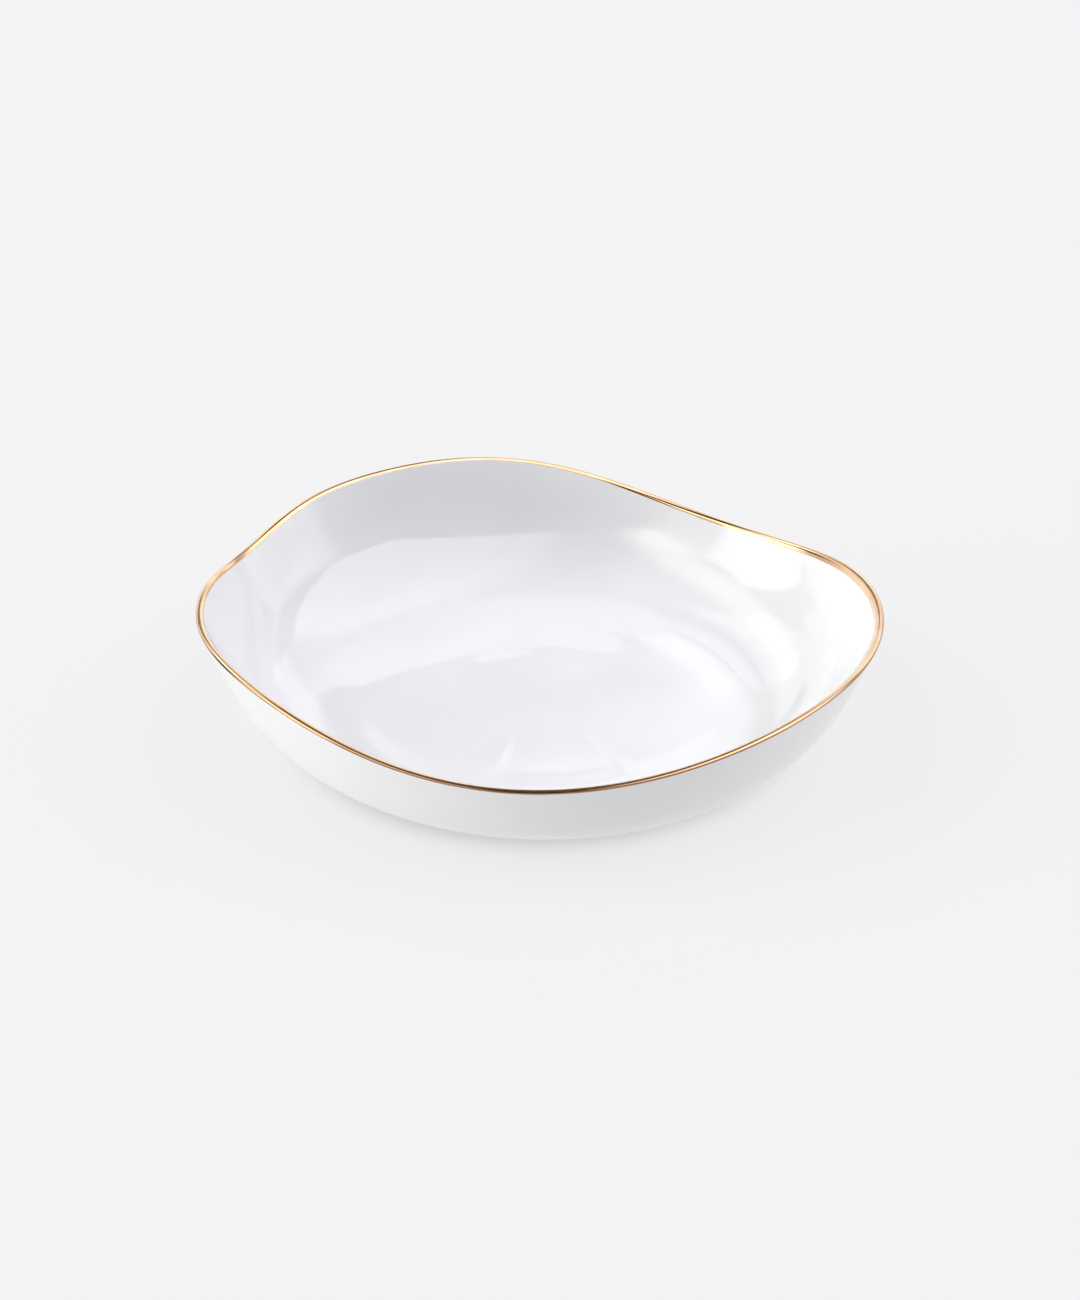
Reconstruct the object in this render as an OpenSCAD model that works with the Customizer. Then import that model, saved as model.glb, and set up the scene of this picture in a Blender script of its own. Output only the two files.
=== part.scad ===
// Serving bowl in white porcelain with a wavy, gilded rim.
//
// Origin: centre of the foot ring's standing edge. +Z is up.
// +X and +Y lie in the plane that the bowl stands on.
//
// The wall is one curve swept around the Z axis. Its middle line is a Bezier
// curve of degree 4, from the edge of the flat floor up to the lip, and it is
// worked out again at every angle, because the lip's reach and height change
// around the bowl. The wall's thickness is square to that line, and turns level
// near the lip, so that the lip's rounded top faces straight up. Every surface
// is the middle line plus half the thickness, less a depth below the finished
// surface:
//   depth 0             the finished, glazed surface
//   depth glaze_depth   the porcelain under the glaze
//   depth -gilt_depth   the outside of the gold on the lip

/* [Bowl] */
// Mean distance from the middle of the bowl to the middle of the lip
lip_radius = 130; // [110:1:150]
// Mean height of the lip above the table, before the pinch
rim_height = 49; // [46:0.5:62]
// Radius of the flat middle of the floor
floor_radius = 68; // [58:1:78]
// Thickness of the finished floor
floor_thickness = 4.6; // [3.6:0.1:6]
// Thickness of the finished wall at the lip
lip_thickness = 2.8; // [2.4:0.1:4]
// How far the rounded top of the lip rises above the end of the wall
lip_rise = 0.8; // [0.6:0.1:1.6]
// Depth of the gentle hollow in the middle of the floor
floor_hollow = 0.5; // [0:0.1:1.2]

/* [Wall curve] */
// Where the low turn out of the floor begins, as a share of the wall's reach
heel_share = 0.37; // [0.2:0.01:0.45]
// How far out the belly runs before it rises, as a share of the wall's reach
belly_share = 0.75; // [0.6:0.01:0.9]
// Height of the straight run below the lip, as a share of the wall's height
lip_run_share = 0.5; // [0.3:0.01:0.6]
// Outward lean of the wall at the lip, as reach gained for each unit of height
lip_lean = 0.44; // [0.3:0.01:0.6]

/* [Lip height] */
// One rise around the lip: half of its height difference
tilt_height = 5.1; // [0:0.1:6]
// Direction of the high side
tilt_angle = -177; // [-180:1:180]
// Two rises: half of their height difference
saddle_height = 4.9; // [0:0.1:5]
// Direction of one of the two high sides
saddle_angle = -33; // [-180:1:180]
// Three rises: half of their height difference
petal_height = 4.2; // [0:0.1:5]
// Direction of one of the three high sides
petal_angle = -18; // [-180:1:180]
// Four rises: half of their height difference
corner_height = 1.4; // [0:0.1:2]
// Direction of one of the four high sides
corner_angle = 22; // [-180:1:180]
// Five rises: half of their height difference
ripple_height = 1.1; // [0:0.1:1.5]
// Direction of one of the five high sides
ripple_angle = 14; // [-180:1:180]
// Six rises: half of their height difference
flutter_height = 0.5; // [0:0.1:1]
// Direction of one of the six high sides
flutter_angle = 28; // [-180:1:180]
// Pinch: how far the lip dips at one narrow place
pinch_depth = 6.9; // [0:0.1:8]
// Direction of the pinch
pinch_angle = 156; // [-180:1:180]
// Angle from the middle of the pinch at which it has shrunk to a third
pinch_width = 15; // [12:1:30]

/* [Lip outline from above] */
// Oval: how far the two ends stand out beyond the mean radius
oval_reach = 0.3; // [0:0.1:3]
// Direction of one end
oval_angle = 70; // [-180:1:180]
// Three bulges: how far they stand out
trefoil_reach = 0.8; // [0:0.1:2]
// Direction of one bulge
trefoil_angle = 51; // [-180:1:180]
// Four bulges: how far they stand out
quatrefoil_reach = 0.4; // [0:0.1:2]
// Direction of one bulge
quatrefoil_angle = 17; // [-180:1:180]

/* [Foot ring] */
// Clear height under the finished floor
foot_height = 3.0; // [2:0.1:5]
// How far the middle of the standing edge lies in from the edge of the flat floor
foot_inset = 9; // [7:0.5:16]
// Width of the ring where it meets the floor
foot_root_width = 7.2; // [5:0.1:9]
// Width of the flat standing edge
foot_edge_width = 3.0; // [2:0.1:4]

/* [Coatings] */
// Thickness of the glaze
glaze_depth = 0.35; // [0.25:0.05:0.5]
// Thickness of the gold
gilt_depth = 0.1; // [0.05:0.01:0.2]
// How far the gold reaches down the wall below the rounded lip
gilt_drop = 0.8; // [0.4:0.1:3]

/* [Fineness] */
// Steps around the bowl
around_steps = 72; // [48:8:80]
// Steps up the wall
wall_steps = 11; // [8:1:12]
// Steps over the rounded lip
lip_steps = 5; // [4:1:6]
// Steps across the hollow of the floor
floor_steps = 3; // [2:1:4]

/* [Hidden] */

// Colours
biscuit_colour = [0.90, 0.89, 0.86];
glaze_colour = [0.95, 0.95, 0.96];
gilt_colour = [0.85, 0.66, 0.34];

// Facets of the turned parts
turned_facets = 144;
// Steps down each rounded side of the foot ring
foot_steps = 6;
// The glaze stops this far short of the foot ring
foot_gap = 0.05;
// Share of the floor's radius inside which the hollow is left flat
floor_middle_share = 0.2;
// Place on the wall's curve where its thickness begins to turn level
level_start = 0.8;

// Rises around the lip: [how many, height, direction of one of them]
rim_waves = [
    [1, tilt_height, tilt_angle],
    [2, saddle_height, saddle_angle],
    [3, petal_height, petal_angle],
    [4, corner_height, corner_angle],
    [5, ripple_height, ripple_angle],
    [6, flutter_height, flutter_angle],
];
// Bulges of the lip's outline: [how many, reach, direction of one of them]
outline_waves = [
    [2, oval_reach, oval_angle],
    [3, trefoil_reach, trefoil_angle],
    [4, quatrefoil_reach, quatrefoil_angle],
];

floor_middle_z = foot_height + floor_thickness / 2;
foot_radius = floor_radius - foot_inset;
foot_root_z = foot_height + glaze_depth;
foot_outer_radius = foot_radius + foot_root_width / 2;
foot_inner_radius = foot_radius - foot_root_width / 2;
// The glaze's edge is a polygon, so its corners stand a little further out than its sides
glaze_edge_radius = (foot_outer_radius + foot_gap) / cos(180 / around_steps);
// Length of the wall's middle line for each unit of the curve's parameter, at the lip
lip_run_length = 4 * lip_run_share * (rim_height - lip_rise - floor_middle_z)
    * sqrt(1 + pow(lip_lean, 2));
gilt_start = 1 - gilt_drop / lip_run_length;

function sum(list, i = 0) = i < len(list) ? list[i] + sum(list, i + 1) : 0;

function waves(table, angle) = sum([for (w = table) w[1] * cos(w[0] * (angle - w[2]))]);

// Dip of the lip at this angle, with the angle from the pinch taken the short way round
function pinch(angle) =
    let (away = (angle - pinch_angle + 540) % 360 - 180)
    pinch_depth * exp(-pow(away / pinch_width, 2));

// End of the wall's middle line at this angle, as [distance from the axis, height]
function lip_middle(angle) = [
    lip_radius + waves(outline_waves, angle),
    rim_height + waves(rim_waves, angle) - pinch(angle) - lip_rise
];

// The five points that steer the wall's middle line at this angle
function wall_handles(angle) =
    let (lip = lip_middle(angle),
         reach = lip[0] - floor_radius,
         run = lip_run_share * (lip[1] - floor_middle_z))
    [
        [floor_radius, floor_middle_z],
        [floor_radius + heel_share * reach, floor_middle_z],
        [floor_radius + belly_share * reach, floor_middle_z],
        [lip[0] - lip_lean * run, lip[1] - run],
        lip
    ];

// A point of the Bezier curve with these handles, halving the list of handles by one at a time
function bezier(handles, s) =
    len(handles) == 1 ? handles[0] :
    bezier([for (i = [0 : len(handles) - 2]) (1 - s) * handles[i] + s * handles[i + 1]], s);

function unit(v) = v / norm(v);

function wall_direction(handles, s) =
    unit(bezier([for (i = [0 : len(handles) - 2]) handles[i + 1] - handles[i]], s));

function wall_thickness(s) = floor_thickness + (lip_thickness - floor_thickness) * s;

function smooth_step(x) = x <= 0 ? 0 : x * x * (3 - 2 * x);

// Direction in which the thickness is measured: square to the wall, then level at the lip
function across(along, s) =
    let (level = smooth_step((s - level_start) / (1 - level_start)))
    unit((1 - level) * [along[1], -along[0]] + level * [1, 0]);

// A station is a place on the bowl's section: [s, turn, share].
//   s       place along the wall's middle line, 0 at the floor and 1 at the lip
//   turn    0 outside, 180 inside, and between them over the rounded lip
//   share   on the floor, the share of its radius
function hollow(station) =
    station[1] == 180 ? floor_hollow * pow(1 - pow(station[2], 2), 2) : 0;

function surface_point(angle, station, depth) =
    let (handles = wall_handles(angle),
         along = wall_direction(handles, station[0]),
         half = wall_thickness(station[0]) / 2 - depth,
         p = bezier(handles, station[0])
             + half * cos(station[1]) * across(along, station[0])
             + (lip_rise - depth) * sin(station[1]) * along,
         radius = p[0] * station[2])
    [radius * cos(angle), radius * sin(angle), p[1] - hollow(station)];

function ring(station, depth) =
    [for (i = [0 : around_steps - 1]) surface_point(360 * i / around_steps, station, depth)];

underside_stations = [[0, 0, glaze_edge_radius / floor_radius]];
outside_stations = [for (i = [0 : wall_steps - 1]) [gilt_start * i / (wall_steps - 1), 0, 1]];
lip_stations = [for (i = [0 : lip_steps]) [1, 180 * i / lip_steps, 1]];
inside_stations = [for (i = [wall_steps - 1 : -1 : 0]) [gilt_start * i / (wall_steps - 1), 180, 1]];
floor_stations = [
    for (i = [1 : floor_steps]) [0, 180, 1 - (1 - floor_middle_share) * i / floor_steps]
];
glazed_stations = concat(
    underside_stations, outside_stations, lip_stations, inside_stations, floor_stations);
gilded_stations = concat(
    [outside_stations[wall_steps - 1]], lip_stations, [inside_stations[0]]);

function rings(stations, depth) = [for (station = stations) each ring(station, depth)];

// Two triangles for every step around between ring r and the next one. With back set they
// face the other way and keep the same diagonal, so two solids can share the surface.
function band(first, rows, back = false) = [
    for (r = [0 : rows - 2], i = [0 : around_steps - 1])
        let (a = first + r * around_steps + i,
             b = first + r * around_steps + (i + 1) % around_steps,
             c = b + around_steps,
             d = a + around_steps)
        each back ? [[a, c, b], [a, d, c]] : [[a, b, c], [a, c, d]]
];

// Triangles that join a ring of the front surface to the same ring of the back surface
function edge(front, rear, back = false) = [
    for (i = [0 : around_steps - 1])
        let (j = (i + 1) % around_steps)
        each back
            ? [[front + i, rear + j, front + j], [front + i, rear + i, rear + j]]
            : [[front + i, front + j, rear + j], [front + i, rear + j, rear + i]]
];

function cap(first, back = false) = [
    [for (i = [0 : around_steps - 1]) first + (back ? around_steps - 1 - i : i)]
];

module porcelain_body() {
    color(biscuit_colour)
    polyhedron(
        points = rings(glazed_stations, glaze_depth),
        faces = concat(
            cap(0),
            band(0, len(glazed_stations), true),
            cap((len(glazed_stations) - 1) * around_steps, true)
        )
    );
}

module glaze_coat() {
    rows = len(glazed_stations);
    rear = rows * around_steps;
    color(glaze_colour)
    polyhedron(
        points = concat(rings(glazed_stations, 0), rings(glazed_stations, glaze_depth)),
        faces = concat(
            edge(0, rear),
            band(0, rows, true),
            cap(rear - around_steps, true),
            band(rear, rows),
            cap(2 * rear - around_steps)
        )
    );
}

module gilt_rim() {
    rows = len(gilded_stations);
    rear = rows * around_steps;
    color(gilt_colour)
    polyhedron(
        points = concat(rings(gilded_stations, -gilt_depth), rings(gilded_stations, 0)),
        faces = concat(
            edge(0, rear),
            band(0, rows, true),
            edge(rear - around_steps, 2 * rear - around_steps, true),
            band(rear, rows)
        )
    );
}

// One side of the foot ring's section, from the standing edge up to the floor: a quarter
// of an ellipse that leaves the floor square and meets the edge square.
function foot_side(side) = [
    for (i = [0 : foot_steps])
        let (turn = 90 * i / foot_steps,
             flare = (foot_root_width - foot_edge_width) / 2)
        [
            foot_radius + side * (foot_edge_width / 2 + flare * sin(turn)),
            foot_root_z * (1 - cos(turn))
        ]
];

module foot_ring() {
    inner = foot_side(-1);
    color(biscuit_colour)
    rotate_extrude($fn = turned_facets)
    polygon(concat(
        foot_side(1),
        [for (i = [foot_steps : -1 : 0]) inner[i]]
    ));
}

module underside_glaze() {
    color(glaze_colour)
    translate([0, 0, foot_height])
    cylinder(r = foot_inner_radius - foot_gap, h = glaze_depth, $fn = turned_facets);
}

porcelain_body();
foot_ring();
glaze_coat();
underside_glaze();
gilt_rim();
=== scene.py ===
"""White porcelain serving bowl with a wavy, gilded rim: finished surfaces, materials and studio.

The surfaces follow the same rule as the CAD model: one curve, swept around Z, whose end rises and
falls with the lip. Here it is swept finely, the gold is laid by hand and thins to nothing at its
edges, and the glaze rolls up against the foot ring. Driving dimensions are in millimetres and
directions in degrees, anticlockwise from +X; the scene is in metres.
"""
import math

import bpy
import numpy as np
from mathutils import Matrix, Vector


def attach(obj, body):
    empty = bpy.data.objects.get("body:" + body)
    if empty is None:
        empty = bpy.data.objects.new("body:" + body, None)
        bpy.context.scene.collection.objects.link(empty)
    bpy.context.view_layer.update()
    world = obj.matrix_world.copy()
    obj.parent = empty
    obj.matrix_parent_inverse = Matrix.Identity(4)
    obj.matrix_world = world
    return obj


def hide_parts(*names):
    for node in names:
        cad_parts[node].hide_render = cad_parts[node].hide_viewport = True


MM = 0.001

# ---------------------------------------------------------------- driving dimensions, in mm
LIP_RADIUS = 130.0
RIM_HEIGHT = 49.0
FLOOR_RADIUS = 68.0
FLOOR_THICKNESS = 4.6
LIP_THICKNESS = 2.8
LIP_RISE = 0.8
FLOOR_HOLLOW = 0.5

HEEL_SHARE = 0.37
BELLY_SHARE = 0.75
LIP_RUN_SHARE = 0.5
LIP_LEAN = 0.44
LEVEL_START = 0.8

# The inside of the floor is level in the middle, to a share of its radius that is larger towards
# the back and the front: (share added, direction, half width, softness). The level part dips
# towards the back, by this much in its length.
LEVEL_SHARE = 0.33
LEVEL_REACHES = ((0.3, 100, 45, 20), (0.52, 277, 24, 5))
LEVEL_DIP = 0.004

# Rises around the lip and bulges of its outline: (how many, height, direction of the first)
RIM_WAVES = ((1, 5.1, -177), (2, 4.9, -33), (3, 4.2, -18), (4, 1.4, 22), (5, 1.1, 14), (6, 0.5, 28))
OUTLINE_WAVES = ((2, 0.3, 70), (3, 0.8, 51), (4, 0.4, 17))
PINCH_DEPTH = 6.9
PINCH_ANGLE = 156.0
PINCH_WIDTH = 15.0

FOOT_HEIGHT = 3.0
FOOT_RADIUS = 59.0
FOOT_ROOT_WIDTH = 7.2
FOOT_EDGE_WIDTH = 3.0

GLAZE_DEPTH = 0.35
GILT_DEPTH = 0.1

# How the roll of the glaze against the foot ring swells
ROLL_HEIGHT = 0.35
ROLL_WIDTH = 0.8

# How finely the surfaces are swept. The middle of the floor, to a share of its radius, is a square
# grid, each side of which meets a quarter of the steps around.
AROUND = 240
UNDER_ROWS = 7
WALL_ROWS = 56
LIP_ROWS = 18
FLOOR_ROWS = 18
MIDDLE_SHARE = 0.3
PATCH_ROWS = 19
PATCH_MIDDLE_SHARE = 0.6
FOOT_FLANK_ROWS = 16
FOOT_EDGE_ROWS = 6

# ---------------------------------------------------------------- the frame
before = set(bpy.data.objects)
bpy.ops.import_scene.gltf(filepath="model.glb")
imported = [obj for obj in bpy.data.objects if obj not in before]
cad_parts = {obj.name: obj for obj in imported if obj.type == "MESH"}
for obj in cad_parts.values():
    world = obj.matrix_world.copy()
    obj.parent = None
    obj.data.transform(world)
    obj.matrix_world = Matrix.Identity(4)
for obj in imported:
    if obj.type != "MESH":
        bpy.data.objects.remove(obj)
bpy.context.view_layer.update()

FLOOR_MIDDLE_Z = FOOT_HEIGHT + FLOOR_THICKNESS / 2
FOOT_ROOT_Z = FOOT_HEIGHT + GLAZE_DEPTH
FOOT_OUTER = FOOT_RADIUS + FOOT_ROOT_WIDTH / 2
FOOT_INNER = FOOT_RADIUS - FOOT_ROOT_WIDTH / 2
LIP_RUN_LENGTH = (
    4 * LIP_RUN_SHARE * (RIM_HEIGHT - LIP_RISE - FLOOR_MIDDLE_Z) * math.hypot(1, LIP_LEAN)
)
ANGLES = np.arange(AROUND) * 2 * math.pi / AROUND


# ---------------------------------------------------------------- the section of the bowl
def waves(table, angle):
    return sum(size * np.cos(count * (angle - math.radians(at))) for count, size, at in table)


def pinch(angle):
    away = (np.degrees(angle) - PINCH_ANGLE + 540) % 360 - 180
    return PINCH_DEPTH * np.exp(-((away / PINCH_WIDTH) ** 2))


def wall_handles(angle):
    """The five points that steer the wall's middle line, as (distance from the axis, height)."""
    radius = LIP_RADIUS + waves(OUTLINE_WAVES, angle)
    height = RIM_HEIGHT + waves(RIM_WAVES, angle) - pinch(angle) - LIP_RISE
    reach = radius - FLOOR_RADIUS
    run = LIP_RUN_SHARE * (height - FLOOR_MIDDLE_Z)
    level = np.full_like(angle, FLOOR_MIDDLE_Z)
    return [
        np.stack([np.full_like(angle, FLOOR_RADIUS), level], -1),
        np.stack([FLOOR_RADIUS + HEEL_SHARE * reach, level], -1),
        np.stack([FLOOR_RADIUS + BELLY_SHARE * reach, level], -1),
        np.stack([radius - LIP_LEAN * run, height - run], -1),
        np.stack([radius, height], -1),
    ]


def bezier(handles, s):
    while len(handles) > 1:
        handles = [(1 - s) * a + s * b for a, b in zip(handles, handles[1:])]
    return handles[0]


def unit(v):
    return v / np.linalg.norm(v, axis=-1, keepdims=True)


def smooth_step(x):
    x = np.clip(x, 0, 1)
    return x * x * (3 - 2 * x)


def hollow(angle, share):
    """How far the inside of the floor lies below the start of the wall, in mm."""
    level = LEVEL_SHARE
    for added, at, half_width, softness in LEVEL_REACHES:
        away = abs((np.degrees(angle) - at + 540) % 360 - 180)
        level = level + added * (1 - smooth_step((away - half_width) / (2 * softness) + 0.5))
    depth = FLOOR_HOLLOW + LEVEL_DIP * FLOOR_RADIUS * share * np.sin(angle)
    return depth * (1 - smooth_step((share - level) / (1 - level)))


def surface(angle, s, turn, share, depth):
    """Points of the bowl's skin, in metres. s runs along the wall, 0 at the floor and 1 at the
    lip; turn is 0 outside, pi inside and between them over the lip; share is the share of the
    floor's radius; depth is below the finished surface, in mm. The five are arrays that
    broadcast."""
    angle, s, turn, share, depth = np.broadcast_arrays(angle, s, turn, share, depth)
    handles = wall_handles(angle)
    along = unit(bezier([b - a for a, b in zip(handles, handles[1:])], s[..., None]))
    level = smooth_step((s - LEVEL_START) / (1 - LEVEL_START))[..., None]
    square = np.stack([along[..., 1], -along[..., 0]], -1)
    across = unit((1 - level) * square + level * np.array([1.0, 0.0]))
    half = (FLOOR_THICKNESS + (LIP_THICKNESS - FLOOR_THICKNESS) * s) / 2 - depth
    place = (
        bezier(handles, s[..., None])
        + (half * np.cos(turn))[..., None] * across
        + ((LIP_RISE - depth) * np.sin(turn))[..., None] * along
    )
    inside = turn > math.pi - 1e-6
    radius = place[..., 0] * share
    height = place[..., 1] - inside * hollow(angle, share)
    return MM * np.stack([radius * np.cos(angle), radius * np.sin(angle), height], -1)


def rows_of(*parts):
    """Joins (s, turn, share) stretches into three columns."""
    stretches = [np.broadcast_arrays(*[np.atleast_1d(x).astype(float) for x in p]) for p in parts]
    return [np.concatenate([p[i] for p in stretches])[:, None] for i in range(3)]


def glazed_rows(first_share):
    """The section from the underside, at that share of the floor's radius, over the lip to the
    middle of the floor."""
    wall = np.linspace(0, 1, WALL_ROWS + 1)
    return rows_of(
        (0, 0, np.linspace(first_share, 1, UNDER_ROWS + 1)[:-1]),
        (wall[:-1], 0, 1),
        (1, np.linspace(0, math.pi, LIP_ROWS + 1), 1),
        (wall[::-1][1:], math.pi, 1),
        (0, math.pi, np.linspace(1, MIDDLE_SHARE, FLOOR_ROWS + 1)[1:]),
    )


# ---------------------------------------------------------------- meshes
def middle_grid():
    """Angle and radius share of each point of a square grid pressed into a disc, whose outermost
    points fall on ANGLES, with the index of the outermost points in the order of ANGLES."""
    side = AROUND // 4
    line = np.linspace(-1, 1, side + 1)
    x, y = np.meshgrid(line, line)
    reach = np.maximum(abs(x), abs(y))
    safe = np.where(reach > 0, reach, 1)
    flat = abs(x) >= abs(y)
    slope = np.where(flat, y / np.where(x != 0, x, 1), x / np.where(y != 0, y, 1))
    turn = np.where(flat, slope * math.pi / 4, math.pi / 2 - slope * math.pi / 4)
    turn = turn + np.where(np.where(flat, x, y) < 0, math.pi, 0)
    turn = np.where(safe == reach, turn, 0) % (2 * math.pi)
    outer = np.argwhere(np.isclose(reach, 1))
    steps = np.rint(turn[outer[:, 0], outer[:, 1]] / (2 * math.pi / AROUND)).astype(int) % AROUND
    order = np.zeros(AROUND, int)
    order[steps] = outer[:, 0] * (side + 1) + outer[:, 1]
    return turn, reach, order


MIDDLE_TURN, MIDDLE_REACH, MIDDLE_EDGE = middle_grid()


class Skin:
    """Points and faces of one closed mesh, made of swept sheets that share their rings."""

    def __init__(self):
        self.points = []
        self.faces = []
        self.count = 0

    def add(self, points):
        points = points.reshape(-1, 3)
        first = self.count
        self.points.append(points)
        self.count += len(points)
        return first + np.arange(len(points))

    def rings(self, points):
        """Adds rows of rings and the quads between them, and returns the index of every point."""
        at = self.add(points).reshape(points.shape[0], AROUND)
        for a, b in zip(at, at[1:]):
            self.join(a, b)
        return at

    def join(self, a, b):
        """Quads between two rings, facing out of the bowl's skin when b comes after a."""
        self.faces.extend(np.stack([a, np.roll(a, -1), np.roll(b, -1), b], -1).tolist())

    def middle(self, ring, surface_at, up):
        """Fills a ring with the square grid. surface_at gives points for (angle, reach)."""
        side = AROUND // 4 + 1
        at = np.full(side * side, -1)
        at[MIDDLE_EDGE] = ring
        inner = np.flatnonzero(at < 0)
        grid = surface_at(MIDDLE_TURN.ravel()[inner], MIDDLE_REACH.ravel()[inner])
        at[inner] = self.add(grid)
        at = at.reshape(side, side)
        quads = np.stack([at[:-1, :-1], at[:-1, 1:], at[1:, 1:], at[1:, :-1]], -1).reshape(-1, 4)
        self.faces.extend((quads if up else quads[:, ::-1]).tolist())

    def flip_from(self, first):
        self.faces[first:] = [f[::-1] for f in self.faces[first:]]

    def build(self, name, sharp_angle=50):
        mesh = bpy.data.meshes.new(name)
        mesh.from_pydata(np.concatenate(self.points).tolist(), [], self.faces)
        mesh.update()
        mesh.polygons.foreach_set("use_smooth", [True] * len(mesh.polygons))
        mesh.set_sharp_from_angle(angle=math.radians(sharp_angle))
        piece = bpy.data.objects.new(name, mesh)
        bpy.context.scene.collection.objects.link(piece)
        return piece


def floor_middle(depth):
    """Surface function for the middle of the floor's inside at this depth."""
    return lambda angle, reach: surface(angle, 0.0, math.pi, reach * MIDDLE_SHARE, depth)


def make_body():
    """The porcelain under the glaze, closed flat underneath."""
    skin = Skin()
    s, turn, share = glazed_rows(MIDDLE_SHARE)
    at = skin.rings(surface(ANGLES, s, turn, share, GLAZE_DEPTH))
    skin.middle(at[-1], floor_middle(GLAZE_DEPTH), up=True)
    skin.middle(
        at[0],
        lambda angle, reach: surface(angle, 0.0, 0.0, reach * MIDDLE_SHARE, GLAZE_DEPTH),
        up=False,
    )
    return skin.build("porcelain_body_fine")


def roll(distance):
    """How far the glaze swells, in mm, this far from the side of the foot ring, in mm."""
    return ROLL_HEIGHT * np.exp(-distance / ROLL_WIDTH)


def make_glaze():
    """The glaze over the outside, the lip and the inside: a closed skin, rolled up at the foot."""
    skin = Skin()
    first_share = FOOT_OUTER / FLOOR_RADIUS
    s, turn, share = glazed_rows(first_share)
    from_foot = (share - first_share) * FLOOR_RADIUS
    swell = np.where((turn == 0) & (s == 0), roll(from_foot), 0)
    front = skin.rings(surface(ANGLES, s, turn, share, -swell))
    skin.middle(front[-1], floor_middle(0.0), up=True)
    start = len(skin.faces)
    back = skin.rings(surface(ANGLES, s, turn, share, GLAZE_DEPTH))
    skin.middle(back[-1], floor_middle(GLAZE_DEPTH), up=True)
    skin.flip_from(start)
    skin.join(back[0], front[0])
    return skin.build("glaze_coat_fine")


def make_underside_glaze():
    """The patch of glaze inside the foot ring, thicker where it rolls up against the ring."""
    skin = Skin()

    def patch(angle, share, depth):
        radius = share * FOOT_INNER
        z = FOOT_ROOT_Z - depth - (roll(FOOT_INNER - radius) if depth > 0 else 0)
        z = np.broadcast_to(z, np.broadcast(angle, radius).shape)
        return MM * np.stack([radius * np.cos(angle), radius * np.sin(angle), z], -1)

    def patch_middle(depth):
        return lambda angle, reach: patch(angle, reach * PATCH_MIDDLE_SHARE, depth)

    share = np.linspace(1, PATCH_MIDDLE_SHARE, PATCH_ROWS + 1)[:, None]
    front = skin.rings(patch(ANGLES, share, GLAZE_DEPTH))
    skin.middle(front[-1], patch_middle(GLAZE_DEPTH), up=True)
    skin.flip_from(0)
    back = skin.rings(patch(ANGLES, share, 0.0))
    skin.middle(back[-1], patch_middle(0.0), up=True)
    skin.join(front[0], back[0])
    return skin.build("underside_glaze_fine")


def make_foot():
    """The foot ring: flanks that round into a flat standing edge."""
    skin = Skin()
    flare = (FOOT_ROOT_WIDTH - FOOT_EDGE_WIDTH) / 2
    turn = np.linspace(0, math.pi / 2, FOOT_FLANK_ROWS + 1)
    out = FOOT_EDGE_WIDTH / 2 + flare * np.sin(turn)
    up = FOOT_ROOT_Z * (1 - np.cos(turn))
    flat = np.linspace(-1, 1, FOOT_EDGE_ROWS + 1)[1:-1] * FOOT_EDGE_WIDTH / 2
    radius = FOOT_RADIUS + np.concatenate([-out[::-1], flat, out])[:, None]
    height = np.concatenate([up[::-1], 0 * flat, up])[:, None]
    ring = MM * np.stack(
        [radius * np.cos(ANGLES), radius * np.sin(ANGLES), height + 0 * ANGLES], -1
    )
    at = skin.rings(ring)
    skin.join(at[-1], at[0])
    return skin.build("foot_ring_fine")


# The gold is laid by hand, so its edges wander. They are these drops below the lip's rounding, and
# on the rounding itself where a drop is less than nothing. Inside, the drop is larger on the right
# and smaller at the back: (drop added, direction, narrowness).
GILT_DROP_OUTSIDE = 0.45
GILT_DROP_INSIDE = 0.5
GILT_INSIDE_REACHES = ((1.6, 10, 3), (-1.05, 98, 8))
GILT_WANDER = ((7, 0.05, 20), (11, 0.05, 75), (19, 0.035, 40), (31, 0.025, 10), (53, 0.015, 5))
GILT_WANDER_INSIDE = -1.3
GILT_FEATHER = 0.15
GILT_EDGE = 0.001
GILT_ROWS = 36

# The lip's rounding: its turns, and how far along the skin, in mm, each lies from the lip's top
ROUNDING_TURNS = np.linspace(0, math.pi, 361)
ROUNDING_STEPS = np.hypot(
    np.diff(LIP_THICKNESS / 2 * np.cos(ROUNDING_TURNS)), np.diff(LIP_RISE * np.sin(ROUNDING_TURNS))
)
ROUNDING_ALONG = np.concatenate([[0], np.cumsum(ROUNDING_STEPS)]) - ROUNDING_STEPS.sum() / 2
ROUNDING_HALF = ROUNDING_ALONG[-1]


def over_lip(distance):
    """Where, as (s, turn), a point lies that is this far along the skin from the lip's top, in mm,
    counted negative outside."""
    beyond = np.maximum(abs(distance) - ROUNDING_HALF, 0)
    return 1 - beyond / LIP_RUN_LENGTH, np.interp(distance, ROUNDING_ALONG, ROUNDING_TURNS)


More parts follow.
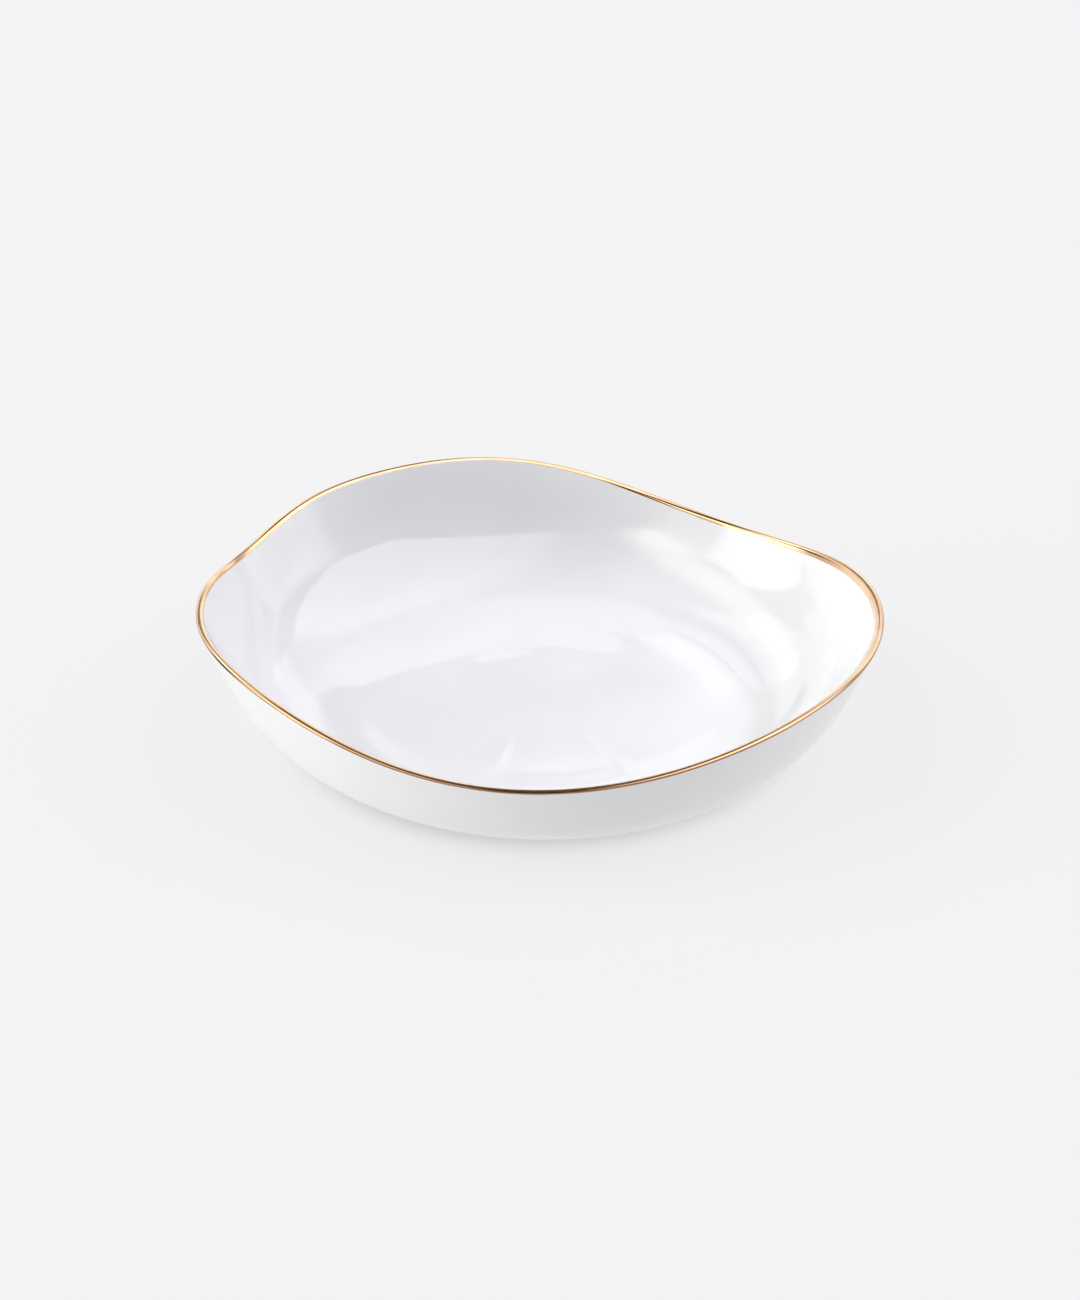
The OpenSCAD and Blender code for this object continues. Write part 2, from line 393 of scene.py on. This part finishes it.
def make_gilt():
    """The gold over the lip, a closed band feathered to nothing at both edges."""
    skin = Skin()
    outside = GILT_DROP_OUTSIDE + waves(GILT_WANDER, ANGLES)
    inside = GILT_DROP_INSIDE + waves(GILT_WANDER, GILT_WANDER_INSIDE * ANGLES)
    for added, at, narrowness in GILT_INSIDE_REACHES:
        inside = inside + added * (0.5 + 0.5 * np.cos(ANGLES - math.radians(at))) ** narrowness
    share = np.linspace(0, 1, GILT_ROWS + 1)[:, None]
    s, turn = over_lip(share * (ROUNDING_HALF + inside) - (1 - share) * (ROUNDING_HALF + outside))
    from_edge = np.minimum(share, 1 - share) * (2 * ROUNDING_HALF + inside + outside)
    thick = GILT_DEPTH * smooth_step(from_edge / GILT_FEATHER)
    front = skin.rings(surface(ANGLES, s, turn, 1.0, -np.maximum(thick, GILT_EDGE)))
    start = len(skin.faces)
    back = skin.rings(surface(ANGLES, s, turn, 1.0, 0.0))
    skin.flip_from(start)
    skin.join(back[0], front[0])
    skin.join(front[-1], back[-1])
    return skin.build("gilt_rim_fine", sharp_angle=80)


# ---------------------------------------------------------------- materials
def new_material(name):
    material = bpy.data.materials.new(name)
    material.use_nodes = True
    nodes, links = material.node_tree.nodes, material.node_tree.links
    shader = nodes["Principled BSDF"]
    coords = nodes.new("ShaderNodeTexCoord")
    return material, nodes, links, shader, coords.outputs["Object"]


def noise(nodes, links, vector, scale, detail=3.0, roughness=0.5):
    node = nodes.new("ShaderNodeTexNoise")
    node.inputs["Scale"].default_value = scale
    node.inputs["Detail"].default_value = detail
    node.inputs["Roughness"].default_value = roughness
    links.new(vector, node.inputs["Vector"])
    return node.outputs["Fac"]


def spread(nodes, links, value, low, high, to_low, to_high):
    node = nodes.new("ShaderNodeMapRange")
    node.interpolation_type = "SMOOTHSTEP"
    ends = {"From Min": low, "From Max": high, "To Min": to_low, "To Max": to_high}
    for name, number in ends.items():
        node.inputs[name].default_value = number
    links.new(value, node.inputs["Value"])
    return node.outputs["Result"]


def blend(nodes, links, share, first, second):
    node = nodes.new("ShaderNodeMix")
    node.data_type = "RGBA"
    links.new(share, node.inputs["Factor"])
    # its sockets 6 and 7 are the two colours, as others share their names
    for socket, colour in ((node.inputs[6], first), (node.inputs[7], second)):
        if isinstance(colour, tuple):
            socket.default_value = (*colour, 1)
        else:
            links.new(colour, socket)
    return node.outputs[2]


def vector_maths(nodes, links, operation, *values):
    node = nodes.new("ShaderNodeVectorMath")
    node.operation = operation
    for socket, value in zip(node.inputs, values):
        if isinstance(value, tuple):
            socket.default_value = value
        else:
            links.new(value, socket)
    return node


def bump(nodes, links, height, distance, normal=None):
    node = nodes.new("ShaderNodeBump")
    node.inputs["Distance"].default_value = distance
    links.new(height, node.inputs["Height"])
    if normal:
        links.new(normal, node.inputs["Normal"])
    return node.outputs["Normal"]


def glaze_material():
    """Clear white glaze over white porcelain: glassy, with a faint unevenness of pour."""
    material, nodes, links, shader, where = new_material("white_glaze_fired")
    tone = spread(nodes, links, noise(nodes, links, where, 22), 0.35, 0.65, 0, 1)
    white = blend(nodes, links, tone, (0.80, 0.803, 0.822), (0.825, 0.826, 0.838))
    links.new(white, shader.inputs["Base Color"])
    gloss = spread(nodes, links, noise(nodes, links, where, 160, 4), 0.3, 0.7, 0.02, 0.04)
    links.new(gloss, shader.inputs["Roughness"])
    shader.inputs["IOR"].default_value = 1.6
    pour = bump(nodes, links, noise(nodes, links, where, 30, 1), 0.000008)
    skin = bump(nodes, links, noise(nodes, links, where, 420, 2), 0.0000008, pour)
    links.new(skin, shader.inputs["Normal"])
    return material


def biscuit_material():
    """Bare fired porcelain: matt, faintly warm, with a fine grain."""
    material, nodes, links, shader, where = new_material("biscuit_porcelain_fired")
    grain = noise(nodes, links, where, 2600, 4, 0.65)
    tone = spread(nodes, links, grain, 0.35, 0.7, 0, 1)
    bare = blend(nodes, links, tone, (0.70, 0.67, 0.61), (0.82, 0.80, 0.75))
    links.new(bare, shader.inputs["Base Color"])
    links.new(spread(nodes, links, grain, 0.3, 0.7, 0.55, 0.85), shader.inputs["Roughness"])
    links.new(bump(nodes, links, grain, 0.00008), shader.inputs["Normal"])
    return material


def gold_material():
    """Burnished gold laid with a brush under a glassy film of flux, clouded where it lies thinner.
    The outer side of the lip is painted brown, a painted dark reflection of the studio."""
    material, nodes, links, shader, where = new_material("gold_lustre_fired")
    cloud = spread(nodes, links, noise(nodes, links, where, 70, 4), 0.35, 0.65, 0, 1)
    gold = blend(nodes, links, cloud, (0.93, 0.54, 0.25), (1.0, 0.66, 0.37))
    flatten = (1 / (MM * LIP_RADIUS), 1 / (MM * LIP_RADIUS), 0)
    outward = vector_maths(nodes, links, "MULTIPLY", where, flatten).outputs["Vector"]
    normal = nodes.new("ShaderNodeTexCoord").outputs["Normal"]
    facing = vector_maths(nodes, links, "DOT_PRODUCT", outward, normal).outputs["Value"]
    # painted dark reflection: where the lip's skin faces outward the gold is blended to brown
    # (0.36, 0.16, 0.06)
    painted_dark_reflection = spread(nodes, links, facing, 0.35, 0.85, 0, 1)
    links.new(blend(nodes, links, painted_dark_reflection, gold, (0.36, 0.16, 0.06)), shader.inputs["Base Color"])
    shader.inputs["Metallic"].default_value = 1.0
    shader.inputs["Coat Weight"].default_value = 1.0
    shader.inputs["Coat IOR"].default_value = 1.65
    shader.inputs["Coat Roughness"].default_value = 0.05
    fine = noise(nodes, links, where, 900, 3)
    links.new(spread(nodes, links, fine, 0.3, 0.7, 0.08, 0.16), shader.inputs["Roughness"])
    links.new(bump(nodes, links, fine, 0.000006), shader.inputs["Normal"])
    return material


# ---------------------------------------------------------------- the pieces
def place(piece, material, node, slot):
    piece.data.materials.append(material)
    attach(piece, "root")
    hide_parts(node)


glaze = glaze_material()
biscuit = biscuit_material()
place(make_body(), biscuit, "porcelain_body", "biscuit_porcelain")
place(make_foot(), biscuit, "foot_ring", "biscuit_porcelain")
place(make_glaze(), glaze, "glaze_coat", "white_glaze")
place(make_underside_glaze(), glaze, "underside_glaze", "white_glaze")
place(make_gilt(), gold_material(), "gilt_rim", "gold_lustre")


# ---------------------------------------------------------------- studio
# The bowl stands on a lit white panel, so its shadow is faint; right under it the panel's glow
# fades out, a painted shadow.
FLOOR_COLOUR = (0.15, 0.15, 0.15)
FLOOR_GLOW = 0.72
FLOOR_HALF_SIDE = 12.0
# painted shadow: no glow from the foot ring out to most of the lip's radius
PAINTED_SHADOW_FADE = (MM * FOOT_OUTER, MM * LIP_RADIUS * 0.82)


def make_floor():
    mesh = bpy.data.meshes.new("floor")
    h = FLOOR_HALF_SIDE
    mesh.from_pydata([(-h, -h, 0), (h, -h, 0), (h, h, 0), (-h, h, 0)], [], [(0, 1, 2, 3)])
    floor = bpy.data.objects.new("floor", mesh)
    bpy.context.scene.collection.objects.link(floor)
    material, nodes, links, shader, where = new_material("floor_paper")
    shader.inputs["Base Color"].default_value = (*FLOOR_COLOUR, 1)
    shader.inputs["Roughness"].default_value = 1.0
    shader.inputs["Specular IOR Level"].default_value = 0.0
    shader.inputs["Emission Color"].default_value = (1, 1, 1, 1)
    reach = vector_maths(nodes, links, "LENGTH", where).outputs["Value"]
    # painted shadow: the floor's glow fades to nothing under the bowl
    glow = spread(nodes, links, reach, *PAINTED_SHADOW_FADE, 0, FLOOR_GLOW)
    links.new(glow, shader.inputs["Emission Strength"])
    mesh.materials.append(material)


VIEW_DISTANCE = 1.100
VIEW_ELEVATION = 27.47
VIEW_LENS = 78.7
VIEW_SENSOR = 36
VIEW_AIM = Vector((-0.00092, 0, 0.02971))


def make_camera():
    camera = bpy.data.cameras.new("camera")
    camera.lens = VIEW_LENS
    camera.sensor_width = VIEW_SENSOR
    eye = bpy.data.objects.new("camera", camera)
    e = math.radians(VIEW_ELEVATION)
    back = Vector((0, -math.cos(e), math.sin(e)))
    eye.location = VIEW_AIM + back * VIEW_DISTANCE
    eye.rotation_mode = "QUATERNION"
    eye.rotation_quaternion = (-back).to_track_quat("-Z", "Y")
    bpy.context.scene.collection.objects.link(eye)
    bpy.context.scene.camera = eye


# The studio's soft boxes, far away, each with its brightness in red, green and blue. Standing ones
# have azimuths from and to, elevations from and to and the softness of their edges, in degrees.
STANDING_BOXES = (
    # left: a tall box, a low one, and the key light beside it
    ((156, 205, 13, 47, 4), (2.9, 2.9, 2.85)),
    ((160, 186, 0, 12, 3), (1.6, 1.65, 1.75)),
    ((186, 208, 0, 12, 3), (13.5, 13.5, 13.2)),
    # front left, low and high
    ((206, 235, 8, 34, 4), (0.65, 0.65, 0.6)),
    ((206, 245, 34, 52, 4), (1.1, 1.1, 1.1)),
    # low walls from the right around to the back left
    ((-10, 30, 0, 20, 3), (1.5, 1.5, 1.4)),
    ((30, 70, 0, 22, 3), (0.6, 0.6, 0.6)),
    ((70, 110, 0, 18, 3), (1.0, 1.03, 0.98)),
    ((110, 140, 0, 22, 3), (0.95, 0.95, 0.95)),
    # higher at the back: a box on the left, and two strips under the main light's far edge
    ((96, 130, 22, 45, 2.5), (0.9, 0.9, 0.9)),
    ((60, 88, 20, 29, 1.5), (0.75, 0.75, 0.75)),
    ((88, 96, 20, 29, 1.5), (0.05, 0.05, 0.06)),
)

# Overhead ones, on a ceiling one unit up, have edges: (direction faced, distance, softness)
FAR_EDGE = (90, 1.79, 0.015)
FRONT_EDGE = (270, 1.12, 0.06)
RIGHT_EDGE = (0, 2.5, 0.12)
CORNER_EDGE = (-45, 2.15, 0.08)
SLANT_EDGE = (48, 1.45, 0.05)
OVERHEAD_BOXES = (
    # the main light: its right, and its dimmer left at the front and the back
    (
        (FRONT_EDGE, SLANT_EDGE, RIGHT_EDGE, CORNER_EDGE, FAR_EDGE, (180, -0.9, 0.3)),
        (2.15, 2.12, 2.26),
    ),
    ((FRONT_EDGE, SLANT_EDGE, (90, 0.9, 0.3), (0, 0.9, 0.3), (180, -0.12, 0.12)), (1.8, 1.77, 1.9)),
    (
        (SLANT_EDGE, FAR_EDGE, (270, -0.9, 0.3), (0, 0.9, 0.3), (180, -0.08, 0.08)),
        (0.6, 0.59, 0.63),
    ),
    # the dim gap between it and the left light, and two strips at the far end of that gap
    ((FRONT_EDGE, FAR_EDGE, (180, 0.35, 0.1), (0, 0.1, 0.1)), (0.06, 0.06, 0.06)),
    ((FAR_EDGE, (270, -1.55, 0.08), (180, 0.03, 0.04), (0, 0.1, 0.1)), (0.6, 0.6, 0.64)),
    ((FAR_EDGE, (270, -1.55, 0.08), (180, 0.19, 0.08), (0, -0.09, 0.04)), (0.6, 0.6, 0.64)),
    # the left light, front and back
    (((270, 1.2, 0.15), (90, 0.6, 0.3), (180, 0.8, 0.2), (0, -0.33, 0.12)), (2.0, 2.0, 1.9)),
    (((270, -0.6, 0.3), FAR_EDGE, (180, 0.8, 0.2), (0, -0.33, 0.12)), (0.95, 0.95, 0.95)),
    # the dim ceiling beyond the main light: past its slanted edge, and far to the right
    (((228, -1.45, 0.06), (48, 3.0, 0.4), (180, 0.0, 0.05), (270, 0.3, 0.1)), (0.45, 0.43, 0.45)),
    (((180, -2.5, 0.12), (0, 5.0, 0.5), (270, 1.0, 0.2), (90, 0.5, 0.3)), (0.3, 0.34, 0.32)),
)


def make_world():
    world = bpy.data.worlds.new("studio")
    world.use_nodes = True
    nodes, links = world.node_tree.nodes, world.node_tree.links

    def maths(operation, *values):
        node = nodes.new("ShaderNodeMath")
        node.operation = operation
        for socket, value in zip(node.inputs, values):
            if isinstance(value, (int, float)):
                socket.default_value = value
            else:
                links.new(value, socket)
        return node.outputs[0]

    def inside(value, low, high, soft):
        middle, half = (low + high) / 2, (high - low) / 2
        distance = maths("ABSOLUTE", maths("SUBTRACT", value, middle))
        return spread(nodes, links, distance, half - soft, half + soft, 1, 0)

    split = nodes.new("ShaderNodeSeparateXYZ")
    links.new(nodes.new("ShaderNodeTexCoord").outputs["Generated"], split.inputs[0])
    azimuth = maths("ARCTAN2", split.outputs[1], split.outputs[0])
    elevation = maths("ARCSINE", split.outputs[2])
    height = maths("MAXIMUM", split.outputs[2], 0.001)
    across = maths("DIVIDE", split.outputs[0], height)
    along = maths("DIVIDE", split.outputs[1], height)

    def standing(shape):
        low, high, bottom, top, soft = (math.radians(v) for v in shape)
        turned = maths("WRAP", maths("SUBTRACT", azimuth, (low + high) / 2), math.pi, -math.pi)
        sideways = inside(turned, (low - high) / 2, (high - low) / 2, soft)
        return maths("MULTIPLY", sideways, inside(elevation, bottom, top, soft))

    def overhead(edges):
        share = maths("GREATER_THAN", split.outputs[2], 0.0)
        for direction, reach, soft in edges:
            direction = math.radians(direction)
            out = maths(
                "ADD",
                maths("MULTIPLY", across, math.cos(direction)),
                maths("MULTIPLY", along, math.sin(direction)),
            )
            edge = spread(nodes, links, out, reach - soft, reach + soft, 1, 0)
            share = maths("MULTIPLY", share, edge)
        return share

    boxes = [(overhead(edges), colour) for edges, colour in OVERHEAD_BOXES]
    boxes += [(standing(shape), colour) for shape, colour in STANDING_BOXES]
    total = None
    for share, colour in boxes:
        scaled = vector_maths(nodes, links, "SCALE", colour)
        links.new(share, scaled.inputs["Scale"])
        light = scaled.outputs[0]
        total = vector_maths(nodes, links, "ADD", total, light).outputs[0] if total else light
    links.new(total, nodes["Background"].inputs["Color"])
    bpy.context.scene.world = world


make_floor()
make_camera()
make_world()
bpy.context.scene.view_settings.view_transform = "Standard"
